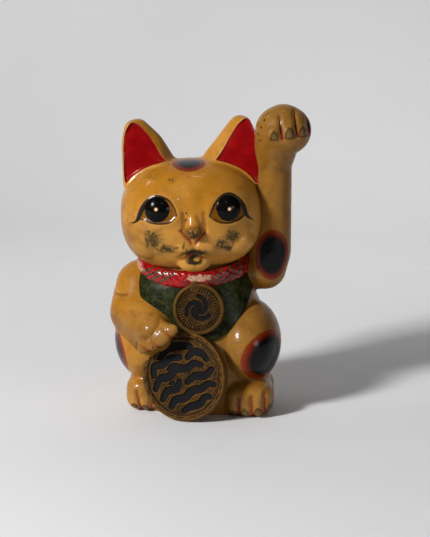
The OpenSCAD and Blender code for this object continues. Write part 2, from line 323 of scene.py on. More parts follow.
def haunch_form(side, grow=0.0):
    form = shaped_ball((27 + grow, 39 + grow, 35 + grow))
    middle, lean = (-43, -4) if side < 0 else (42.2, -3)
    return placed(form, (middle, -9, 58), turned("Y", lean) @ turned("X", 7))


def foot_form(side, grow=0.0):
    front, middle = (-33, 45.5) if side > 0 else (-26, -39)
    block = placed(shaped_ball((19.5 + grow, 21 + grow, 15 + grow), 3.2), (middle, front + 7, 14.5))
    return merged([block, hull([((middle, front + 8, 15), 15 + grow), ((middle, 8, 15.5), 16.5 + grow)])])


SHOULDER, REST_ELBOW, REST_WRIST, REST_PAW = (-48, -5, 101), (-50.5, -15, 81), (-34, -40, 71), (-32, -49, 73)
REST_TOE_AT = [(-7, -7, -12), (0, -10, -9.5), (10, -11, -4), (17, -9, 4)]


def resting_arm_form(grow=0.0):
    joints = [(SHOULDER, 22), (REST_ELBOW, 23), (REST_WRIST, 18), (REST_PAW, 14)]
    forms = [hull([(p, r + grow), (q, s + grow)]) for (p, r), (q, s) in zip(joints, joints[1:])]
    tips = [(np.array(REST_PAW) + np.array(at) * 1.08, 4.8 + grow) for at in REST_TOE_AT]
    forms.append(hull([(REST_PAW, 11.5 + grow), *tips]))
    return merged(forms)


ELBOW, WRIST, PAW = np.array([57.0, 8, 116]), np.array([59.3, 8, 205]), np.array([69.0, -3, 234])
RAISED_TOE_AT = [(-6, -15.5, 0), (6, -15, 1), (14.5, -9.5, 1.5), (16.6, -3, 1)]


def raised_arm_form(grow=0.0):
    low = ELBOW - (3.2, 0, 0)
    shoulder, upper = ELBOW + (-14, 0, -2), ELBOW + (.8, 0, 15)
    near, far, top = PAW - (3, 0, 0), PAW + (3, 0, 0), PAW + (0, 0, 1.6)
    forms = [hull([(shoulder, 16 + grow), (low, 17.6 + grow)]),
             hull([(low, 17.6 + grow), (upper, 17.5 + grow), (WRIST, 16 + grow)]),
             hull([(WRIST, 16 + grow), (near, 20 + grow)]),
             hull([(near, 20 + grow), (far, 20 + grow), (top, 20 + grow)])]
    for at in RAISED_TOE_AT:
        forms.append(hull([(PAW + at, 6.5 + grow), (PAW + np.array(at) * .5 + (0, 0, 4), 10)]))
    return merged(forms)


def tail_form(grow=0.0):
    joints = [((14, 52, 11), 9), ((-8, 56, 13), 9), ((-28, 48, 18), 7)]
    return merged([hull([(p, r + grow), (q, s + grow)]) for (p, r), (q, s) in zip(joints, joints[1:])])


def ear_form(side, grow=0.0):
    """In the head's frame: a flat front, and a thick rounded back that flows down into the crown"""
    balls = [((22, -7, 40), 4.5), ((51, -5, 28), 4.2), ((51, -1, 61), 4.0), ((47.5, 0, 74.3), 4.2),
             ((43, 7, 70), 9.5), ((20.4, 7, 44.2), 9), ((27, 14, 36.5), 8.5), ((45, 10, 45), 7)]
    if side < 0:
        balls += [((41, 7, 70.5), 9.3), ((29.3, 7, 59.3), 9.2)]
    else:
        balls += [((55.3, -9.5, 28), 4.2), ((54, -6.5, 60), 4)]
    return hull([((side * x, y, z), r + grow) for (x, y, z), r in balls])


# ---------------------------------------------------------------- painted lines on the face
# in the head's frame: (x, z, half width)
UPPER_LIDS = {
    "left": curve_through([(-50.6, -.6, .2), (-46, 1.6, .9), (-43.6, 5, 1.5), (-40.6, 12, 1.9), (-35.4, 19, 1.9),
                           (-27.6, 22.6, 1.6), (-19, 20.4, .8), (-14.6, 14.6, .6), (-12.6, 8.2, .45)]),
    "right": curve_through([(50.4, -1.6, .2), (46.5, 1.2, .9), (44.0, 4.8, 1.5), (41.0, 13, 1.9), (34.8, 20, 1.9),
                            (28.6, 22.4, 1.6), (22.4, 20.6, .8), (17.4, 15, .6), (13.7, 6.4, .45)]),
}
LOWER_LIDS = {
    "left": curve_through([(-46, 1.8, .3), (-40.9, 4.2, .4), (-34.6, 2.2, .6), (-26.7, 1.2, .65), (-18, 2.5, .55),
                           (-12.6, 7.6, .35)]),
    "right": curve_through([(46.5, 1.4, .3), (43, 4.2, .4), (37.3, .9, .6), (29.1, -.4, .65), (20.3, 1.3, .55),
                            (13.7, 6, .35)]),
}
EYE_AT = {"left": (-28.2, 12.3), "right": (29.3, 11.2)}
EYE_R, EYE_DOME = 10.2, 3.6
GLINT = {"left": (-.9, 1.2), "right": (.8, .2)}


def eye_outline(name):
    upper, lower = UPPER_LIDS[name][8:, :2], LOWER_LIDS[name][8:-1, :2]
    return np.vstack([upper, lower[::-1]])


NOSE_RED = [[(-10, -4.9, .7), (-5.8, -10, .7), (-1.4, -15.4, .5)],
            [(9.8, -6.6, .7), (6, -10.6, .7), (2, -15.6, .5)]]
MOUTH_RED = [curve_through([(-9.4, -28.7, .4), (-4.6, -26, .7), (.3, -24.2, .4)]),
             curve_through([(4.6, -27, .4), (7.6, -28, .7), (10.2, -29.9, .3)])]
LIP_FOLD = [(-10, -25.5, .4), (0, -22.5, .5), (12, -26.5, .4)]


# ---------------------------------------------------------------- head and ears
def head_sculpt():
    forms = [shaped_ball(HEAD_HALF, HEAD_POWER, 192, 96)]
    forms += [ear_form(side) for side in (-1, 1)]
    forms.append(hull([((1, -37.4, 14), 8), ((1, -41.2, 4), 7.6), ((.4, -45.6, -4.6), 7)]))  # the nose
    forms.append(placed(shaped_ball((5.6, 5.5, 4.8)), (.3, -50.5, -5.4)))
    for side in (-1, 1):  # upper lip puffs and cheeks
        forms.append(placed(shaped_ball((13, 10, 9)), (side * 8 + .5, -38.6, -20)))
        forms.append(placed(shaped_ball((17, 12, 13)), (side * 33, -28.2, -18)))
    forms.append(placed(shaped_ball((14, 9, 9)), (.5, -34.9, -33)))  # chin
    head = make("head_sculpt", merged([placed(f, HEAD_AT, HEAD_TURN) for f in forms]))
    remeshed(head, 0.8)
    points, edges = places(head), links(head)
    local = in_head(points)
    fine = 1 - 0.75 * eased(-local[:, 1], 38, 46)  # the nose and mouth keep more of their shape
    points = relaxed(points, edges, 12, weight=fine)
    crown = eased(local[:, 2], 36, 42) * eased(-np.abs(local[:, 0]), -34, -20)  # the ears run into it
    points = relaxed(points, edges, 50, weight=crown)
    set_places(head, points)

    local, n = in_head(points), normals(head) @ HEAD_TURN
    x, y, z = local.T
    front = eased(-n[:, 1], 0.15, 0.5) * eased(-y, 8, 14)
    push = np.zeros(len(x))  # along y, back into the head when positive
    for name in SIDES:
        gap = area_gap(x, z, eye_outline(name))
        push += 1.3 * eased(-gap, -0.6, 2.2) - 0.25 * np.exp(-((gap - 2.2) / 2.0) ** 2)
        away = np.hypot(x - EYE_AT[name][0], (z - EYE_AT[name][1]) * 1.1)
        push += 1.2 * np.exp(-((away - 23) / 6.0) ** 2) * eased(z, -12, 0)  # soft hollow round the eye
    for edge, sign in ((-7.2, -1), (9.4, 1)):  # sides of the bridge
        line = [(edge, 9, .2), (edge, 2, .4), (edge + sign * .6, -4, .3)]
        push += 1.0 * dip(stroke_gap(x, z, line), 1.4)
    for stroke in NOSE_RED:
        push += 1.0 * dip(stroke_gap(x, z, stroke), 1.0)
    push += 1.1 * dip(stroke_gap(x, z, LIP_FOLD), 1.5)
    push += 0.6 * dip(oval_gap(x, z, (.4, -31), (5, 2.2)), 2.2)
    push += 0.8 * np.exp(-(np.hypot(x - .5, z + 41) / 4.5) ** 2)
    local[:, 1] += push * front

    skull = skull_gap(local)
    terms = np.stack([np.ones(len(x)), x, z, x * z, x * x, z * z], 1)
    flat, depth = np.zeros(len(x)), local[:, 1].copy()
    for side in (-1, 1):  # each ear's front becomes one smooth, slightly dished sheet
        gap = np.maximum(ear_panel_gap(side, x, z), 2.2 - skull)
        share = eased(-gap, -1, 2) * (n[:, 1] < 0) * (depth < 6)
        fit = np.linalg.lstsq(terms[share > .5], depth[share > .5], rcond=None)[0]
        local[:, 1] += (terms @ fit - depth) * share
        flat += share
    local = relaxed(local, edges, 10, weight=np.minimum(flat, 1))
    sunk = np.zeros(len(x))
    for side in (-1, 1):
        gap = np.maximum(ear_panel_gap(side, x, z), 1.8 - skull)
        sunk += 2.0 * eased(-gap, -0.4, 1.6) * eased(-n[:, 1], 0.0, 0.35) * (y < 6) * (z > 22)
    local[:, 1] += sunk
    set_places(head, local @ HEAD_TURN.T + HEAD_AT)
    return head


EAR_PANELS = {-1: curve_through([(-45.4, 78), (-49.6, 74), (-52.3, 67), (-53.6, 52), (-52, 28), (-36, 35),
                                 (-17.5, 40), (-24, 53), (-32, 67), (-39.8, 75.6)], 5, closed=True),
              1: curve_through([(48.6, 78), (52.2, 74.2), (55.4, 67), (57.6, 50), (57.4, 26), (38, 33.4),
                                (19.5, 39), (28, 54), (38, 69.5), (43.6, 75.6)], 5, closed=True)}


def ear_panel_gap(side, x, z):
    return area_gap(x, z, EAR_PANELS[side])


# ---------------------------------------------------------------- body and limbs
REST_TOES = [[(-21.4, 79), (-13.4, 69.4)], [(-30.9, 68.5), (-22.9, 61)], [(-40.4, 63.9), (-32.3, 58)]]
RAISED_TOES = [[(66.9, 248), (69.9, 230)], [(78.4, 250.8), (82, 232)], [(89, 248.4), (90.6, 234)]]
FOOT_TOES = {"left": [[(-47.5, 18.2), (-44.9, 2)], [(-36, 16), (-35.2, 0)]],
             "right": [[(37.3, 17.5), (38.4, 1)], [(48.9, 19), (49.5, .6)], [(59.9, 22.7), (59, 3)]]}
REST_FOLDS = [curve_through([(-25.5, 83, .3), (-28, 77, .5), (-32.5, 72, .5), (-36.5, 69, .3)]),
              curve_through([(-36, 72, .3), (-42, 66, .4), (-45.5, 58, .3)]),
              curve_through([(-67, 97.4, .3), (-62, 97.6, .4), (-57, 98.6, .3)])]


def widened(stroke, start, end):
    a, b = stroke
    return [(*a, start), (*b, end)]


def beside(stroke, start, end):
    """A stroke moved by start and end, whose last numbers are its half widths"""
    return [(x + move[0], z + move[1], move[2]) for (x, z), move in zip(stroke, (start, end))]


def bellied(stroke):
    """A stroke that is widest a little past its middle"""
    (x0, z0), (x1, z1) = stroke
    return [(x0, z0, .35), (x0 * .4 + x1 * .6, z0 * .4 + z1 * .6, .9), (x1, z1, .3)]


def body_sculpt():
    forms = [torso_form(), resting_arm_form(), raised_arm_form(), tail_form()]
    forms += [f(side) for side in (-1, 1) for f in (haunch_form, foot_form)]
    body = make("body_sculpt", merged(forms))
    below = make("below", placed(shaped_ball((400, 400, 200), 12, 16, 8), (0, 0, -200)))
    remeshed(body, 1.05)
    joined(body, below, "DIFFERENCE")
    discard(below)
    remeshed(body, 1.05)
    points, edges = places(body), links(body)
    floor = 1 - eased(3 - points[:, 2], 0, 2.5)
    points = relaxed(points, edges, 9, weight=floor)
    paw = eased(-np.hypot(points[:, 0] + 26, points[:, 2] - 69), -21, -14) * (points[:, 1] < -42)
    points = relaxed(points, edges, 34, weight=paw)
    set_places(body, points)

    n = normals(body)
    x, y, z = points.T
    press = np.zeros(len(x))
    facing = eased(-n[:, 1], 0.05, 0.4)

    def groove(stroke, depth, half, where):
        return depth * dip(stroke_gap(x, z, stroke), half) * facing * where

    rest = (y < -38) & (x < 0) & (z > 45) & (z < 95)
    for stroke in REST_TOES:
        press += groove(widened(stroke, .2, .5), .7, 1.2, rest)
    for stroke in REST_FOLDS[:2]:
        press += groove(stroke, .9, 1.6, y < -30)
    press += groove(REST_FOLDS[2], 1.2, 1.0, (y < -5) & (x < -50))
    for stroke in RAISED_TOES:
        press += groove(widened(stroke, .2, .6), 1.2, 1.6, (y < -4) & (z > 215))
    for name, strokes in FOOT_TOES.items():
        for stroke in strokes:
            press += groove(widened(stroke, .2, .7), 1.7, 1.9, (y < -24) & (z < 26))
    points -= n * press[:, None]
    set_places(body, points)
    return body


# the finishes darken the hollows found here as painted shade and lighten the ridges as painted highlight
def cavity_of(o, scales=((10, .8), (40, .5))):
    """Positive in hollows, negative on ridges, in mm"""
    points, edges, n = places(o), links(o), normals(o)
    total = np.zeros(len(points))
    for times, weight in scales:
        total += weight * ((relaxed(points, edges, times) - points) * n).sum(1)
    return total


# ---------------------------------------------------------------- paint: fields that the finishes read
def cover(gap):
    return np.clip(REACH - gap, 0, 60)


# places on the face: (x, z), half sizes, and how worn the lacquer is there
SMUDGES = [((.8, -23.6), (12.5, 4.2)), ((.4, -28.5), (5.6, 6.4))]
INK_DOTS = [((-4.8, 9.6), (.9, .8)), ((-5.4, 3.8), (.8, 1.0)), ((-8.6, -18), (.6, 2.4))]
WORN = [((-32, -12.5), (9, 9), 1), ((-21, -20), (10, 5), .95), ((-36, -7.5), (5, 4), .9),
        ((23, -17.5), (7, 7), .9), ((32, -11.5), (8, 7.5), .95), ((28, -22), (6, 4.5), .8),
        ((.3, -6.5), (9, 6), .9), ((-7.5, -17), (1.6, 4), .7), ((-9, -4), (1.5, 4), .6),
        ((-30, 36), (9, 3.5), .5), ((-14, 35), (7, 3), .5), ((-20, 28), (5, 4), .4), ((26, 35), (6, 2), .25)]
CROWN_SPOT = ((-.5, -13, 44), (13.8, 16.5, 12))
CROWN_CORE = .62  # the crown spot's black middle is smaller than the others'


def paint_face(o):
    points = places(o)
    x, y, z = in_head(points).T
    front, off = y < -12, 99.0
    red = strokes_gap(x, z, NOSE_RED + MOUTH_RED)
    lids = strokes_gap(x, z, list(UPPER_LIDS.values()) + list(LOWER_LIDS.values()))
    dark = np.min([lids] + [oval_gap(x, z, at, half) for at, half in INK_DOTS], axis=0)
    whites = np.min([area_gap(x, z, eye_outline(name)) for name in SIDES], axis=0)
    keep_field(o, "red", cover(np.where(front, red, off)))
    keep_field(o, "ink", cover(np.where(front, dark, off)))
    keep_field(o, "whites", cover(np.where(front, whites, off)))
    smudge = 0 * x
    for at, half in SMUDGES:
        away = ((x - at[0]) / half[0]) ** 2 + ((z - at[1]) / half[1]) ** 2
        smudge = np.maximum(smudge, np.exp(-1.1 * away))
    lip = dip(oval_gap(x, z, (.4, -31), (4.4, 2.2)), 1.5)
    chip = eased(-oval_gap(x, z, (2.4, -29.4), (2.2, 1.6)), -1.2, .8)
    keep_field(o, "smudge", np.where(front, np.maximum(smudge, .85 * lip) * (1 - .75 * chip), 0))
    wear = np.zeros(len(x))
    for at, half, amount in WORN:
        away = np.maximum(oval_gap(x, z, at, half), -min(half)) / min(half) + 1
        wear = np.maximum(wear, amount * np.exp(-away ** 2))
    keep_field(o, "wear", np.where(front, wear, 0))
    keep_field(o, "tip", np.where(front, eased(-oval_gap(x, z, (.3, -6.6), (8, 5.8)), -1.4, 1.6), 0))
    share = round_share(np.stack([x, y, z], 1), *CROWN_SPOT)
    keep_field(o, "spot", np.clip(2 - np.where(share < 1, 1 - CROWN_CORE * (1 - share), share), 0, 2))
    keep_field(o, "tone", eased(z, -34, 30) * (0.55 + 0.45 * eased(-x, -55, 40)))
    # painted shade: the face's left side is darkened, most on the left cheek
    keep_field(o, "shade_darkening", .22 * eased(-x, 12, 40) + .4 * eased(-x, 0, 34) * eased(-z, -8, 16))


def paint_ear(o, side):
    local = in_head(places(o))
    x, y, z = local.T
    gap = np.maximum(ear_panel_gap(side, x, z), 1.9 - skull_gap(local))
    n = normals(o) @ HEAD_TURN
    keep_field(o, "enamel", cover(np.where((n[:, 1] < .3) & (y < 7), gap, 99)))
    keep_field(o, "tone", 0.45 + 0 * x)


# black spots as ellipsoids: middle, half sizes
SPOTS = [((61, -33, 51), (25, 26, 22)), ((-69.5, -20, 50), (25, 26, 21.5)), ((62, -14, 130.5), (15.5, 24, 22.3))]
SPOTTED = ("left_haunch", "right_haunch", "raised_arm")
# claws as arches: foot (x, z), half width, height; and the y that they stay in front of
CLAWS = {"raised_arm": ([((63.7, 228), 3.5, 8.6), ((76, 229.6), 3.9, 9.9), ((86, 230.4), 3.2, 9.4),
                         ((93, 230.2), 2.8, 6.4)], -4),
         "left_foot": ([((-50.2, 2.6), 3.2, 5.4), ((-40.8, .6), 4.0, 6.6), ((-31, 0), 4.0, 6.0)], -20),
         "right_foot": ([((34.2, 1.2), 3.4, 6.0), ((43.3, 1.4), 3.9, 8.0), ((54.5, 1.8), 4.2, 8.6),
                         ((63.6, 3.6), 3.4, 8.4)], -20)}
PAW_DOTS = [(52.6, 238), (49.4, 232), (51, 227), (55, 244)]
# painted shade: how far each piece's lacquer colour is darkened to stand in for shade, most on the raised arm,
# the right haunch and the feet
SHADE_DARKENING = {"raised_arm": .85, "right_haunch": .85, "right_foot": .75, "left_foot": .55}


def arch_gap(u, v, foot, half, tall):
    """A claw's outline: a round-topped arch with a flat foot"""
    return np.maximum(oval_gap(u, v, foot, (half, tall)), foot[1] - v)


def paint_body(o, name):
    points, n = places(o), normals(o)
    x, y, z = points.T
    off = np.full(len(x), 99.0)
    red, ink, claw = off.copy(), off.copy(), off.copy()
    if name == "resting_arm":
        red = strokes_gap(x, z, [widened(s, .25, .9) for s in REST_TOES])
        # painted shade: dark strokes beside each toe line, drawn with the ink lines
        shade = [beside(s, (.6, .5, .1), (.9, .6, .45)) for s in REST_TOES]
        ink = np.minimum(strokes_gap(x, z, shade), oval_gap(x, z, (-29.4, 63.4), (.9, .8)))
        red, ink = np.where(y < -38, red, 99), np.where(y < -38, ink, 99)
        crease = stroke_gap(x, z, [(-66, 97.3, .25), (-58, 98.2, .4)])
        ink = np.minimum(ink, np.where((y < -5) & (x < -50), crease, 99))
    if name in CLAWS:
        arches, behind = CLAWS[name]
        claw = np.min([arch_gap(x, z, *a) for a in arches], axis=0)
        claw = np.where((y < behind) & (n[:, 1] < .2), claw, 99)
    if name == "raised_arm":
        red = strokes_gap(x, z, [widened(s, .5, 1.15) for s in RAISED_TOES])
        ink = strokes_gap(x, z, [bellied(s) for s in RAISED_TOES])
        red, ink = np.where(y < -4, red, 99), np.where(y < -4, ink, 99)
        for at in PAW_DOTS:
            ink = np.minimum(ink, np.where(y < 2, oval_gap(x, z, at, (.8, .9)), 99))
    if name in ("left_foot", "right_foot"):
        strokes = FOOT_TOES[name.split("_")[0]]
        red = np.where(y < -20, strokes_gap(x, z, [widened(s, .35, .95) for s in strokes]), 99)
        # painted shade: dark strokes beside each toe line, drawn with the ink lines
        shade = [beside(s, (.8, -2, .1), (.9, 0, .5)) for s in strokes]
        ink = np.where(y < -20, strokes_gap(x, z, shade), 99)
    keep_field(o, "red", cover(red))
    keep_field(o, "ink", cover(ink))
    keep_field(o, "claw", cover(claw))
    share = np.min([round_share(points, at, half) for at, half in SPOTS], axis=0)
    keep_field(o, "spot", np.clip(2 - share, 0, 2) if name in SPOTTED else 0 * x)
    keep_field(o, "tone", 0.25 + 0.35 * eased(-(x + 0.3 * z), -70, 30))
    # painted shade: every piece is darkened a little, the torso's right side and the lower end of the resting arm
    # more
    shade_darkening = 0 * x + SHADE_DARKENING.get(name, .32)
    if name.startswith("torso"):
        shade_darkening = np.maximum(shade_darkening, .85 * eased(x, 0, 22))
    if name == "resting_arm":
        shade_darkening = .4 + .5 * eased(-z, -92, -72)
    keep_field(o, "shade_darkening", shade_darkening)


# ---------------------------------------------------------------- finishes
def srgb(*channels):
    """A colour given as it looks on a screen, 0 to 255"""
    return (*(c / 255 / 12.92 if c <= 10.3 else ((c / 255 + 0.055) / 1.055) ** 2.4 for c in channels), 1.0)


class Finish:
    """One procedural material, built up layer on layer"""

    def __init__(self, name):
        self.mat = bpy.data.materials.new(name)
        self.mat.use_nodes = True
        self.tree = self.mat.node_tree
        self.tree.nodes.clear()
        out = self.add("ShaderNodeOutputMaterial")
        self.shader = self.add("ShaderNodeBsdfPrincipled")
        self.tree.links.new(self.shader.outputs[0], out.inputs[0])
        self.place = self.add("ShaderNodeTexCoord").outputs["Object"]
        self.heights = []

    def add(self, kind, values=None, **settings):
        node = self.tree.nodes.new(kind)
        for key, value in settings.items():
            setattr(node, key, value)
        for key, value in (values or {}).items():
            self.put(node.inputs[key], value)
        return node

    def put(self, socket, value):
        if isinstance(value, bpy.types.NodeSocket):
            self.tree.links.new(value, socket)
        else:
            socket.default_value = value

    def noise(self, size_mm, detail=3.0, rough=0.55, stretch=(1, 1, 1), distortion=0.0):
        spread = self.add("ShaderNodeVectorMath", {0: self.place, 1: stretch}, operation="MULTIPLY").outputs[0]
        values = {"Vector": spread, "Scale": 1 / (size_mm * MM), "Detail": detail, "Roughness": rough}
        return self.add("ShaderNodeTexNoise", {**values, "Distortion": distortion}).outputs[0]

    def cells(self, size_mm):
        return self.add("ShaderNodeTexVoronoi", {"Vector": self.place, "Scale": 1 / (size_mm * MM)}).outputs[0]

    def field(self, name):
        return self.add("ShaderNodeAttribute", attribute_name=name).outputs["Fac"]

    def maths(self, operation, a, b=0.0):
        return self.add("ShaderNodeMath", {0: a, 1: b}, operation=operation).outputs[0]

    def span(self, value, low, high, start=0.0, end=1.0):
        values = {"Value": value, "From Min": low, "From Max": high, "To Min": start, "To Max": end}
        return self.add("ShaderNodeMapRange", values, interpolation_type="SMOOTHSTEP").outputs[0]

    def mix(self, factor, a, b, blend="MIX"):
        settings = {"data_type": "RGBA", "blend_type": blend, "clamp_factor": True}
        return self.add("ShaderNodeMix", {0: factor, 6: a, 7: b}, **settings).outputs[2]

    def blend(self, factor, a, b):
        node = self.add("ShaderNodeMix", {0: factor, 2: a, 3: b}, data_type="FLOAT", clamp_factor=True)
        return node.outputs[0]

    def inside(self, name, wobble=None, soft=0.35):
        """1 inside a painted area's edge"""
        value = self.field(name)
        if wobble is not None:
            value = self.maths("ADD", value, wobble)
        return self.span(value, REACH - soft, REACH + soft)

    def ramp(self, value, stops):
        node = self.add("ShaderNodeValToRGB", {0: value})
        for i, (at, colour) in enumerate(stops):
            element = node.color_ramp.elements[i] if i < 2 else node.color_ramp.elements.new(at)
            element.position, element.color = at, colour
        return node.outputs[0]

    def relief(self, height, depth_mm):
        self.heights.append((height, depth_mm))

    def done(self, colour, roughness, metallic=0.0, coat=0.0, coat_roughness=0.1, ior=1.5):
        self.put(self.shader.inputs["Base Color"], colour)
        self.put(self.shader.inputs["Roughness"], roughness)
        self.put(self.shader.inputs["Metallic"], metallic)
        self.shader.inputs["Coat Weight"].default_value = coat
        self.shader.inputs["Coat Roughness"].default_value = coat_roughness
        self.shader.inputs["IOR"].default_value = ior
        normal = None
        for height, depth in self.heights:
            values = {"Height": height, "Distance": depth * MM, "Strength": 1.0}
            if normal is not None:
                values["Normal"] = normal
            normal = self.add("ShaderNodeBump", values).outputs[0]
        if normal is not None:
            self.put(self.shader.inputs["Normal"], normal)
        return self.mat


def lacquer_finish():
    f = Finish("aged_lacquer")
    cloud = f.noise(38, 4, .6)
    mottle = f.noise(9, 5, .62, distortion=.6)
    fine = f.noise(2.2, 4, .6)
    tone = f.maths("ADD", f.field("tone"), f.span(cloud, .3, .7, -.45, .45))
    colour = f.mix(f.span(tone, -.1, 1.1), srgb(182, 129, 56), srgb(164, 108, 27))
    colour = f.mix(f.span(mottle, .5, .78, 0, .5), colour, srgb(140, 84, 24))
    colour = f.mix(f.span(mottle, .2, .42, .35, 0), colour, srgb(196, 146, 76))
    # painted shade darkens the hollows and creases; a painted highlight lightens the ridges
    shade_and_ridge_light = f.maths("ADD", f.field("shade_and_ridge_light"), f.span(fine, .2, .8, -.06, .06))
    colour = f.mix(f.span(shade_and_ridge_light, .1, .55, 0, .6), colour, srgb(120, 72, 26))
    colour = f.mix(f.span(shade_and_ridge_light, .5, 1.3, 0, .75), colour, srgb(58, 32, 14))
    colour = f.mix(f.span(shade_and_ridge_light, -.15, -.7, 0, .3), colour, srgb(206, 158, 92))
    # painted shade: the lacquer is darkened by each piece's shade field
    shade_darkening = f.maths("ADD", f.field("shade_darkening"), f.span(mottle, .35, .7, -.12, .12))
    colour = f.mix(f.span(shade_darkening, 0, 1, 0, 1), colour, f.mix(.55, colour, srgb(60, 38, 12)))
    whites = f.inside("whites")
    colour = f.mix(whites, colour, f.mix(f.span(fine, .3, .7), srgb(104, 62, 8), srgb(126, 80, 14)))
    tip = f.maths("MULTIPLY", f.field("tip"), f.span(f.noise(3.4, 3), .34, .5))
    colour = f.mix(tip, colour, f.mix(f.span(fine, .4, .6), srgb(98, 52, 20), srgb(140, 82, 36)))
    claw = f.inside("claw", f.span(fine, 0, 1, -.4, .4), .3)
    claw_tone = f.mix(f.span(f.field("claw"), REACH, REACH + 2.4), srgb(58, 42, 16), srgb(112, 86, 42))
    colour = f.mix(f.maths("MULTIPLY", claw, .92), colour, claw_tone)
    spot = f.maths("ADD", f.field("spot"), f.span(fine, 0, 1, -.012, .012))
    rings = [(0, srgb(124, 54, 12)), (.12, srgb(112, 32, 6)), (.22, srgb(70, 16, 5)), (.31, srgb(7, 6, 6))]
    ring = f.ramp(f.maths("SUBTRACT", spot, 1.0), rings)
    colour = f.mix(f.span(spot, .985, 1.015), colour, ring)
    enamel = f.inside("enamel", f.span(fine, 0, 1, -.25, .25), .25)
    colour = f.mix(enamel, colour, f.mix(f.span(f.noise(14, 3), .3, .7), srgb(120, 4, 8), srgb(140, 12, 12)))
    red = f.inside("red", f.span(f.noise(1.6, 2), 0, 1, -.5, .4), .25)
    patchy = f.maths("MULTIPLY", f.maths("SUBTRACT", f.noise(2.6, 5, .65), .5), 1.1)
    smudge = f.maths("ADD", f.field("smudge"), patchy)
    colour = f.mix(f.span(smudge, .12, .6, 0, .6), colour, srgb(88, 66, 24))
    colour = f.mix(f.span(smudge, .38, .82, 0, .93), colour, srgb(24, 20, 11))
    colour = f.mix(red, colour, srgb(140, 14, 12))
    ink = f.inside("ink", f.span(f.noise(1.4, 2), 0, 1, -.22, .22), .22)
    colour = f.mix(f.maths("MULTIPLY", ink, .96), colour, srgb(14, 9, 7))
    pitting = f.noise(2.8, 5, .68, distortion=.3)
    wear = f.field("wear")
    worn = f.maths("ADD", f.maths("MULTIPLY", wear, .75), f.maths("MULTIPLY", pitting, 1.9))
    worn = f.span(worn, 1.36, 1.6)
    stain = f.span(f.maths("ADD", wear, f.maths("MULTIPLY", mottle, .6)), .5, 1.1, 0, .62)
    colour = f.mix(stain, colour, srgb(112, 84, 34))
    colour = f.mix(f.maths("MULTIPLY", worn, .85), colour, srgb(52, 38, 16))
    specks = f.span(f.cells(7.5), .11, .04)
    sparse = f.span(f.noise(21, 2), .5, .6)
    pits = f.maths("MULTIPLY", specks, sparse)
    colour = f.mix(f.maths("MULTIPLY", pits, .8), colour, srgb(80, 48, 18))
    f.relief(f.noise(26, 2), .5)
    f.relief(f.noise(4.2, 4), .11)
    f.relief(f.maths("ADD", pits, f.maths("MULTIPLY", worn, 1.0)), -.22)
    painted = f.maths("MAXIMUM", enamel, f.span(spot, .985, 1.015))
    rough = f.blend(painted, f.span(mottle, .3, .75, .24, .4), .24)
    dull = f.maths("MAXIMUM", f.maths("MAXIMUM", ink, claw), f.span(smudge, .3, .8))
    rough = f.maths("ADD", rough, f.maths("MULTIPLY", f.maths("MAXIMUM", worn, dull), .22))
    return f.done(colour, rough, coat=.17, coat_roughness=.05, ior=1.2)


def eye_finish():
    f = Finish("black_eye")
    colour = f.mix(f.span(f.noise(5, 2), .4, .7), srgb(8, 7, 7), srgb(16, 13, 11))
    glint = f.field("glint")
    colour = f.mix(f.span(glint, REACH - 2.0, REACH - 1.3), colour, srgb(150, 92, 44))
    colour = f.mix(f.span(glint, REACH - 1.35, REACH - .8), colour, srgb(226, 206, 176))
    f.relief(f.noise(6, 2), .05)
    return f.done(colour, f.span(f.noise(3, 3), .3, .7, .12, .2), ior=1.2)


def collar_finish():
    f = Finish("collar_paint")
    fine = f.noise(1.8, 4, .65)
    patch = f.noise(6, 4, .6)
    colour = f.mix(f.span(patch, .35, .7), srgb(150, 10, 14), srgb(104, 6, 10))
    stripe = f.inside("stripe", f.span(f.noise(3.2, 3), 0, 1, -.5, .5), .3)
    colour = f.mix(stripe, colour, f.mix(f.span(patch, .42, .6), srgb(22, 34, 24), srgb(74, 66, 30)))
    chips = f.span(f.maths("ADD", f.field("wear"), f.maths("MULTIPLY", f.noise(3.0, 4, .7), 1.6)), 1.22, 1.34)
    colour = f.mix(chips, colour, f.mix(f.span(fine, .35, .65), srgb(190, 150, 118), srgb(150, 104, 82)))
    # painted shade darkens the hollows between the folds
    colour = f.mix(f.span(f.field("shade_and_ridge_light"), .1, .8, 0, .75), colour, srgb(40, 8, 8))
    f.relief(f.noise(5, 3), .25)
    f.relief(chips, -.25)
    return f.done(colour, f.blend(chips, .2, .6), ior=1.42)


def bib_finish():
    f = Finish("bib_paint")
    sponge = f.noise(5.0, 5, .68, distortion=.5)
    fine = f.noise(1.6, 3)
    colour = f.mix(f.span(sponge, .38, .66), srgb(16, 23, 8), srgb(46, 47, 13))
    colour = f.mix(f.span(fine, .6, .78, 0, .6), colour, srgb(84, 84, 32))
    colour = f.mix(f.span(f.field("edge"), 3.2, .8, 0, .8), colour, srgb(10, 14, 8))
    f.relief(f.noise(7, 3), .3)
    return f.done(colour, f.span(sponge, .3, .7, .24, .4), ior=1.24)


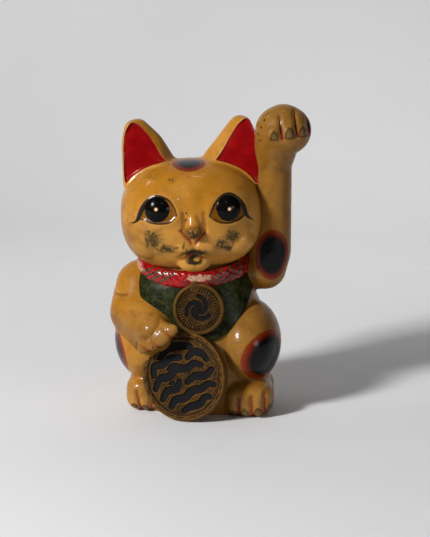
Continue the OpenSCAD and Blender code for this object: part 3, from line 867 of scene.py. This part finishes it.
def gold_finish():
    f = Finish("antique_gold")
    fine = f.noise(1.3, 5, .68)
    patch = f.noise(7, 4, .62)
    colour = f.mix(f.span(patch, .35, .68), srgb(62, 40, 12), srgb(36, 24, 9))
    colour = f.mix(f.span(fine, .54, .7, 0, .85), colour, srgb(122, 84, 32))
    colour = f.mix(f.span(fine, .2, .42, .6, 0), colour, srgb(30, 21, 10))
    # painted shade darkens the hollows of the relief; a painted highlight lightens its ridges
    colour = f.mix(f.span(f.field("shade_and_ridge_light"), .05, .5, 0, .85), colour, srgb(16, 11, 6))
    colour = f.mix(f.span(f.field("shade_and_ridge_light"), -.08, -.5, 0, .6), colour, srgb(108, 74, 28))
    ink = f.inside("ink", f.span(f.noise(1.8, 3), 0, 1, -.3, .3), .3)
    colour = f.mix(ink, colour, f.mix(f.span(patch, .4, .7), srgb(9, 10, 13), srgb(14, 13, 15)))
    metal = f.blend(ink, .4, 0.0)
    f.relief(f.maths("MULTIPLY", f.noise(2.0, 5, .7), f.maths("SUBTRACT", 1.0, ink)), .5)
    f.relief(f.noise(8, 3), .3)
    return f.done(colour, f.blend(ink, f.span(fine, .3, .7, .38, .58), .66), metal, ior=1.2)


def wood_finish(name, pale, dark, ring_mm):
    f = Finish(name)
    grain = f.noise(ring_mm, 5, .6, stretch=(1, .12, 1), distortion=1.2)
    colour = f.mix(f.span(grain, .3, .7), srgb(*pale), srgb(*dark))
    f.relief(grain, .3)
    return f.done(colour, f.span(grain, .3, .7, .55, .75))


def cork_finish():
    f = Finish("stopper_cork")
    cells = f.cells(2.4)
    colour = f.mix(f.span(f.noise(1.6, 4), .4, .65), srgb(178, 128, 84), srgb(120, 78, 46))
    colour = f.mix(f.span(cells, .3, .1, 0, .6), colour, srgb(72, 44, 26))
    f.relief(f.noise(1.6, 4), .4)
    return f.done(colour, .82)


FINISH = {"body_lacquer": lacquer_finish(), "eye_glass": eye_finish(), "collar_paint": collar_finish(),
          "bib_paint": bib_finish(), "antique_gold": gold_finish(),
          "bare_wood": wood_finish("bare_wood", (196, 158, 112), (150, 108, 66), 5), "cork": cork_finish()}


def finished(o, slot, *nodes, body="figure", sharp=40):
    o.data.materials.clear()
    o.data.materials.append(FINISH[slot])
    smooth_shaded(o, sharp)
    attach(o, body)
    if nodes:
        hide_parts(*nodes)
    return o


# ---------------------------------------------------------------- the head, cut into its shells and ears
head = head_sculpt()
keep_field(head, "shade_and_ridge_light", cavity_of(head))
HEAD_PIECES = {}
skull = make("skull", placed(shaped_ball(HEAD_HALF, HEAD_POWER, 128, 64), HEAD_AT, HEAD_TURN))
for name, side in SIDES.items():
    region = make("region", placed(ear_form(side, 2.4), HEAD_AT, HEAD_TURN))
    joined(region, skull, "DIFFERENCE")
    HEAD_PIECES[name + "_ear"] = joined(copied(head, name + "_ear"), region, "INTERSECT")
    joined(head, region, "DIFFERENCE")
    discard(region)
inside = shaped_ball(np.array(HEAD_HALF) - WALL, HEAD_POWER, 64, 32)
hollow = make("hollow", placed(inside, HEAD_AT, HEAD_TURN))
behind = prism([(-200, -200), (200, -200), (200, 200), (-200, 200)], HEAD_SEAM, 400)
half_space = make("half_space", placed(behind, HEAD_AT, HEAD_TURN))
joined(head, hollow, "DIFFERENCE")
HEAD_PIECES["head_back_shell"] = joined(copied(head, "head_back_shell"), half_space, "INTERSECT")
HEAD_PIECES["head_front_shell"] = joined(copied(head, "head_front_shell"), half_space, "DIFFERENCE")
discard(hollow, half_space, skull)


# ---------------------------------------------------------------- the body, cut into shells and limbs
body = body_sculpt()
keep_field(body, "shade_and_ridge_light", cavity_of(body))
whole_body = copied(body, "whole_body")
torso_solid = make("torso_solid", torso_form(0.15))
BODY_PIECES = {}
LIMBS = [("resting_arm", resting_arm_form(2.5)), ("raised_arm", raised_arm_form(2.5)), ("tail", tail_form(2.5))]
LIMBS += [(name + "_haunch", haunch_form(side, 2.2)) for name, side in SIDES.items()]
LIMBS += [(name + "_foot", foot_form(side, 2.5)) for name, side in SIDES.items()]
for name, form in LIMBS:
    region = make("region", form)
    if "haunch" not in name:
        remeshed(region, 1.5)
    joined(region, torso_solid, "DIFFERENCE")
    BODY_PIECES[name] = joined(copied(body, name), region, "INTERSECT")
    joined(body, region, "DIFFERENCE")
    discard(region)
hollow_rows = [(-.02, *TORSO_ROWS[0][1:]), (.054, *TORSO_ROWS[0][1:])] + TORSO_ROWS[2:7]
hollow = make("hollow", torso_form(-WALL, tuple(hollow_rows), around=96))
slot_cut = make("slot_cut", prism([(-17, 85.5), (17, 85.5), (17, 90.5), (-17, 90.5)], 30, 70))
half_space = make("half_space", prism([(-200, -200), (200, -200), (200, 400), (-200, 400)], SEAM_Y, 400))
joined(body, hollow, "DIFFERENCE")
joined(body, slot_cut, "DIFFERENCE")
BODY_PIECES["torso_back_shell"] = joined(copied(body, "torso_back_shell"), half_space, "INTERSECT")
BODY_PIECES["torso_front_shell"] = joined(copied(body, "torso_front_shell"), half_space, "DIFFERENCE")
discard(hollow, slot_cut, half_space, torso_solid)

# ---------------------------------------------------------------- bib
BIB_OUTLINE = curve_through([(-53, 117), (-51, 104), (-46, 90), (-37, 77), (-24, 67.5), (-8, 62.2), (6, 62.4),
                             (20, 66.5), (32, 75.5), (41.4, 88.5), (45.6, 103), (45.5, 112), (40, 116),
                             (20, 114), (0, 113), (-30, 114), (-46, 117)], 6, closed=True)
bib = make("bib_layer", torso_form(2.3))
bib_prism = make("bib_prism", prism(BIB_OUTLINE, -80, SEAM_Y - 6))
joined(bib, bib_prism, "INTERSECT")
remeshed(bib, 0.7)
set_places(bib, relaxed(places(bib), links(bib), 4))
joined(bib, whole_body, "DIFFERENCE")
x, y, z = places(bib).T
keep_field(bib, "edge", -area_gap(x, z, BIB_OUTLINE))
discard(bib_prism, whole_body)

# ---------------------------------------------------------------- collar
COLLAR_AT, COLLAR_RX, COLLAR_FRONT, COLLAR_BACK = np.array([-5.0, -3, 122.5]), 41.8, 37, 34
STRIPES = [-34, -28, -22, -16, 18, 23.5, 29, 34.5]


def collar_form():
    """A soft rolled band with shallow slanted folds"""
    rings, fields = [], []
    b = np.linspace(0, 2 * math.pi, 40, endpoint=False)
    cb, sb = [np.sign(w) * np.abs(w) ** 0.8 for w in (np.cos(b), np.sin(b))]
    for a in np.linspace(0, 2 * math.pi, 420, endpoint=False):
        reach = COLLAR_FRONT if math.sin(a) < 0 else COLLAR_BACK
        x, y = COLLAR_RX * math.cos(a), reach * math.sin(a)
        slant = x + 1.1 * 7 * sb
        depth = 0.55 if math.sin(a) < 0 else 0.22
        fold = depth * np.sin(slant / 5.6 * 2 * math.pi) * np.maximum(cb, 0)
        out = 1 + (5.2 * cb - fold * 0.7) / COLLAR_RX
        rings.append(np.stack([x * out, y * out, 0.2 * y + 7.2 * sb + 0 * x], 1))
        fields.append(np.stack([np.full(40, x), 7.2 * sb, cb], 1))
    return np.array(rings), np.array(fields)


rings, fields = collar_form()
m, n = rings.shape[:2]
faces = [[a * n + k, (a + 1) % m * n + k, (a + 1) % m * n + (k + 1) % n, a * n + (k + 1) % n]
         for a in range(m) for k in range(n)]
collar = make("collar_band", (rings.reshape(-1, 3) + COLLAR_AT, faces))
u, v, outward = fields.reshape(-1, 3).T
front = (places(collar)[:, 1] < -10) & (outward > -.2)
lines = [[(s - 8, -6.5, .5), (s, 0, .9), (s + 8, 6.5, .6)] for s in STRIPES]
keep_field(collar, "stripe", cover(np.where(front, strokes_gap(u, v, lines), 99)))
wear = np.maximum(np.exp(-(np.maximum(oval_gap(u, v, (8, 2), (11, 3)), -3) / 3 + 1) ** 2),
                  np.exp(-(np.maximum(oval_gap(u, v, (-39.5, 1), (6, 4)), -4) / 4 + 1) ** 2))
keep_field(collar, "wear", np.where(front, wear, 0))
keep_field(collar, "shade_and_ridge_light", cavity_of(collar))

# ---------------------------------------------------------------- eyes
BODY_EYES = {}
for name, side in SIDES.items():
    cx, cz = EYE_AT[name]
    aside, up = math.radians(12), math.radians(4)  # where the eye looks
    out = np.array([side * math.sin(aside), -math.cos(aside), math.sin(up)])
    out /= np.linalg.norm(out)
    across = np.cross((0, 0, 1), out)
    across /= np.linalg.norm(across)
    matrix = np.stack([across, np.cross(out, across), out], 1)
    dome = (EYE_R ** 2 + EYE_DOME ** 2) / (2 * EYE_DOME)
    sweep = math.asin(EYE_R / dome)
    profile = [(0, -7), (6.5, -7), (6.5, -2), (EYE_R - .3, -2), (EYE_R, -1.6), (EYE_R, -.2)]
    bulge = np.linspace(sweep, 0, 30)
    profile += [(dome * math.sin(t), dome * (math.cos(t) - math.cos(sweep))) for t in bulge]
    profile[-1] = (0, EYE_DOME)
    eye = placed(revolved(profile, 96), (cx, 1.0 - face_depth(cx, cz), cz), matrix)
    BODY_EYES[name] = make(name + "_eye_glass", placed(eye, HEAD_AT, HEAD_TURN))
    glint = np.hypot(eye[0][:, 0] - cx - GLINT[name][0], eye[0][:, 2] - cz - GLINT[name][1])
    keep_field(BODY_EYES[name], "glint", cover(np.where(eye[0][:, 1] < -40, glint, 99)))


# ---------------------------------------------------------------- gilt relief
def disc_form(radius, thick, step=0.45, steps=360):
    """A round-edged disc with a fine grid on its face; heights are set afterwards"""
    edge = [(0, 0), (radius * .5, 0), (radius - 1.2, 0), (radius - .35, .35), (radius, 1.2),
            (radius, thick - 1.3), (radius - .35, thick - .4), (radius - 1.1, thick)]
    face = [(r, thick) for r in np.arange(radius - 1.1 - step, step * .6, -step)]
    return revolved(edge + face + [(0, thick)], steps)


def relief(points, thick, height):
    """Heights set on the face of a disc"""
    face = points[:, 2] > thick - 0.01
    points[face, 2] += height[face]
    return points


def spiral(at, start, turns, r0, r1, half, step=12):
    out = []
    for i in range(int(turns * step) + 1):
        a = math.radians(start) + 2 * math.pi * i / step
        t = i / (turns * step)
        r = r0 + (r1 - r0) * t
        out.append((at[0] + r * math.cos(a), at[1] + r * math.sin(a), half * (1 - .35 * t)))
    return np.array(out)


COIN_STROKES = [curve_through(line, 5) for line in (
    [(-14, 21, 2.8), (-5, 26, 3.4), (6, 24.5, 3.4), (14, 20.5, 2.8)],
    [(-24.5, 8.5, 2.4), (-21.5, 15.5, 3.1), (-13, 15, 3.3), (-6, 17.5, 3.2), (2, 15.5, 2.8)],
    [(9, 13, 2.4), (15, 15.5, 3.3), (21.5, 12, 3.1), (24, 6, 2.2)],
    [(-27, -2, 2.4), (-20.5, 4.5, 3.2), (-12, 3.5, 3.5), (-4, 7.5, 3.5), (5, 5, 3.3), (12, 6.5, 3.0),
     (17.5, 3.5, 2.3)],
    [(-24, -12, 2.4), (-18, -7, 3.2), (-9.5, -7.5, 3.3), (-5, -3, 2.4)],
    [(2, -5.5, 2.8), (10, -3.5, 3.2), (18, -6, 3.2), (25, -3, 2.4)],
    [(-19, -20, 2.6), (-13.5, -16, 3.2), (-5, -17, 3.5), (3, -13.8, 3.5), (11, -14.8, 3.2), (18, -13, 2.8),
     (22.5, -15.5, 2.2)],
    [(-10, -27, 2.4), (-3, -25.5, 3.2), (5, -26, 3.3), (11, -22.5, 3.0), (15.5, -23.5, 2.2)],
    [(-10.5, 9.8, 1.5), (-6, 11.4, 2.0), (-2, 11.0, 1.2)], [(-13, -1.8, 1.6), (-10.5, -2.4, 1.9)])]
COIN_A, COIN_B, COIN_T = 37.0, 36.2, 9.0  # the long half runs along y
points, faces = disc_form(COIN_A, COIN_T)
points[:, 0] *= COIN_B / COIN_A
u, v = points[:, 0], points[:, 1]
rim_in = COIN_A - np.hypot(u * COIN_A / COIN_B, v)
ink_gap = np.maximum(strokes_gap(u, v, COIN_STROKES), 6.2 - rim_in)
rough = 0.35 * np.sin(u * 1.9 + 2.2 * np.sin(v * .7)) * np.sin(v * 2.3 + u * .4) * eased(rim_in, 5, 6)
ground = (0.25 + rough * eased(ink_gap, .2, 1.2)) * eased(rim_in, 5.4, 6.6)
height = -1.3 * eased(rim_in, 4.0, 5.0) + ground - 1.25 * eased(-ink_gap, -.5, .7)
height += 0.25 * np.sin(np.arctan2(v, u) * 23 + np.sin(u)) * eased(rim_in, 1, 2) * eased(-rim_in, -4.2, -3)
COIN_TURN = turned("Z", -13) @ turned("X", 80) @ turned("Z", 25)
points = relief(points, COIN_T, height)
coin = make("koban_coin_gilt", placed((points, faces), (-4.4, -46, 35.9), COIN_TURN))
keep_field(coin, "ink", cover(ink_gap + .15))
keep_field(coin, "shade_and_ridge_light", cavity_of(coin, ((6, .8), (24, .6))))

MEDAL_R, MEDAL_T = 21.0, 7.0
MEDAL_STROKES = [spiral((0, 0), start, .42, 2.6, 10.8, 2.4) for start in (60, 180, 300)]
points, faces = disc_form(MEDAL_R, MEDAL_T, .4, 300)
u, v = points[:, 0], points[:, 1]
radius, angle = np.hypot(u, v), np.arctan2(v, u)
ink_gap = np.maximum(strokes_gap(u, v, MEDAL_STROKES), radius - 12.6)
ticks = 0.5 + 0.5 * np.cos(angle * 44)
band = eased(radius, 13.6, 14.1) * eased(-radius, -17.2, -16.7)
height = -1.2 * eased(-radius, -18.2, -17.6) + 0.75 * ticks ** 2 * band
height += 0.5 * np.exp(-((radius - 13.2) / .5) ** 2)
height += -0.7 * eased(-ink_gap, -.4, .5) + 0.3 * eased(-radius, -12.8, -12.2)
MEDAL_TURN = turned("X", 82)
MEDAL_AT = np.array([5.3, -41.0, 91.6])
points = relief(points, MEDAL_T, height)
medal = make("medallion_gilt", placed((points, faces), MEDAL_AT, MEDAL_TURN))
keep_field(medal, "ink", cover(np.minimum(ink_gap, np.where(band > .5, (ticks - .12) * 1.2, 9))))
keep_field(medal, "shade_and_ridge_light", cavity_of(medal, ((6, .8), (20, .6))))
STUD = [(0, 0), (3.6, 0), (5, .6), (5.2, 2.2), (5, 5.4), (4.3, 6.4), (3.2, 6.9), (2.6, 6.6), (1.6, 6.9), (0, 7.1)]
STUD_AT = MEDAL_AT + MEDAL_TURN @ np.array([-3, 18, .3])
button = make("medallion_button_gilt", placed(revolved(STUD, 64), STUD_AT, MEDAL_TURN))
keep_field(button, "shade_and_ridge_light", cavity_of(button, ((3, 1.0),)))

# ---------------------------------------------------------------- paint and finish every piece
for name, piece in {**HEAD_PIECES, **BODY_PIECES}.items():
    if name in HEAD_PIECES:
        paint_ear(piece, SIDES[name.split("_")[0]]) if name.endswith("ear") else paint_face(piece)
    else:
        paint_body(piece, name)
    piece.name = name + "_lacquer"
    finished(piece, "body_lacquer", name)
discard(head, body)
finished(bib, "bib_paint", "bib", sharp=60)
finished(collar, "collar_paint", "collar", sharp=80)
for name, eye in BODY_EYES.items():
    finished(eye, "eye_glass", name + "_eye")
finished(coin, "antique_gold", "koban_coin", sharp=75)
finished(medal, "antique_gold", "medallion", sharp=75)
finished(button, "antique_gold", "medallion_button", sharp=60)
KEPT = {"base_board": "bare_wood", "neck_peg": "bare_wood", "resting_arm_peg": "bare_wood",
        "raised_arm_peg": "bare_wood", "stopper": "cork"}
for node, slot in KEPT.items():
    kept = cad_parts[node]
    kept.data.materials.clear()
    kept.data.materials.append(FINISH[slot])

# ---------------------------------------------------------------- floor, light and camera
bm = bmesh.new()
bend = np.linspace(.1, math.pi / 2, 16)
sweep = [(-.7, 0), (.7, 0)] + [(.7 + .8 * math.sin(t), .8 - .8 * math.cos(t)) for t in bend] + [(1.5, 3)]
low = [bm.verts.new((-5, y, z)) for y, z in sweep]
high = [bm.verts.new((5, y, z)) for y, z in sweep]
for i in range(len(sweep) - 1):
    bm.faces.new([low[i], high[i], high[i + 1], low[i + 1]])
mesh = bpy.data.meshes.new("floor")
bm.to_mesh(mesh)
bm.free()
floor = bpy.data.objects.new("floor", mesh)
bpy.context.scene.collection.objects.link(floor)
mesh.polygons.foreach_set("use_smooth", np.ones(len(mesh.polygons), bool))
paper = Finish("paper")
paper_tone = paper.mix(paper.span(paper.noise(300, 2), .3, .7), (.79, .79, .795, 1), (.77, .77, .775, 1))
mesh.materials.append(paper.done(paper_tone, .85))


def area_light(name, at, aim, size, power, colour=(1, 1, 1)):
    data = bpy.data.lights.new(name, "AREA")
    data.shape, data.size, data.size_y = "RECTANGLE", size[0], size[1]
    data.energy, data.color = power, colour
    lamp = bpy.data.objects.new(name, data)
    bpy.context.scene.collection.objects.link(lamp)
    lamp.location = at
    lamp.rotation_euler = (Vector(aim) - Vector(at)).to_track_quat("-Z", "Y").to_euler()
    return lamp


area_light("key", (-1.50, -1.70, 1.36), (0, 0, .1), (.45, .45), 83)
area_light("front", (.50, -1.45, 1.35), (0, 0, .12), (.10, .10), .9)
area_light("window", (-1.12, .20, 1.50), (0, 0, .16), (.12, .15), 1.2)
area_light("skylight", (.06, .12, 1.95), (0, 0, .16), (.20, .09), .8)
area_light("right_fill", (1.35, -.95, .30), (0, 0, .14), (.5, .3), 3)
pool = bpy.data.objects.new("backdrop", bpy.data.lights.new("backdrop", "SPOT"))
bpy.context.scene.collection.objects.link(pool)
pool.data.energy, pool.data.shadow_soft_size = 44, .3
pool.data.spot_size, pool.data.spot_blend = math.radians(36), 1.0
pool.location = (.2, .8, 2.2)
pool.rotation_euler = (Vector((.2, .72, 0)) - pool.location).to_track_quat("-Z", "Y").to_euler()
world = bpy.data.worlds.new("studio")
bpy.context.scene.world = world
world.use_nodes = True
world.node_tree.nodes["Background"].inputs[0].default_value = (1, 1, 1, 1)
world.node_tree.nodes["Background"].inputs[1].default_value = .015
bpy.context.scene.view_settings.view_transform = "Standard"

AZIMUTH, ELEVATION, DISTANCE, SCALE = math.radians(8), math.radians(12.5), 1.7, 1200
WIDE, TALL = 430, 537
camera = bpy.data.objects.new("camera", bpy.data.cameras.new("camera"))
bpy.context.scene.collection.objects.link(camera)
level = math.cos(ELEVATION)
back = Vector((math.sin(AZIMUTH) * level, -math.cos(AZIMUTH) * level, math.sin(ELEVATION)))
target = Vector((0, 0, .12))
camera.location = target + back * DISTANCE
camera.rotation_euler = (-back).to_track_quat("-Z", "Y").to_euler()
camera.data.sensor_width = 36
camera.data.lens = SCALE * DISTANCE * 36 / TALL
camera.data.shift_x = (WIDE / 2 - 200) / TALL
camera.data.shift_y = -(TALL / 2 - (404 - .12 * SCALE * level)) / TALL
bpy.context.scene.camera = camera
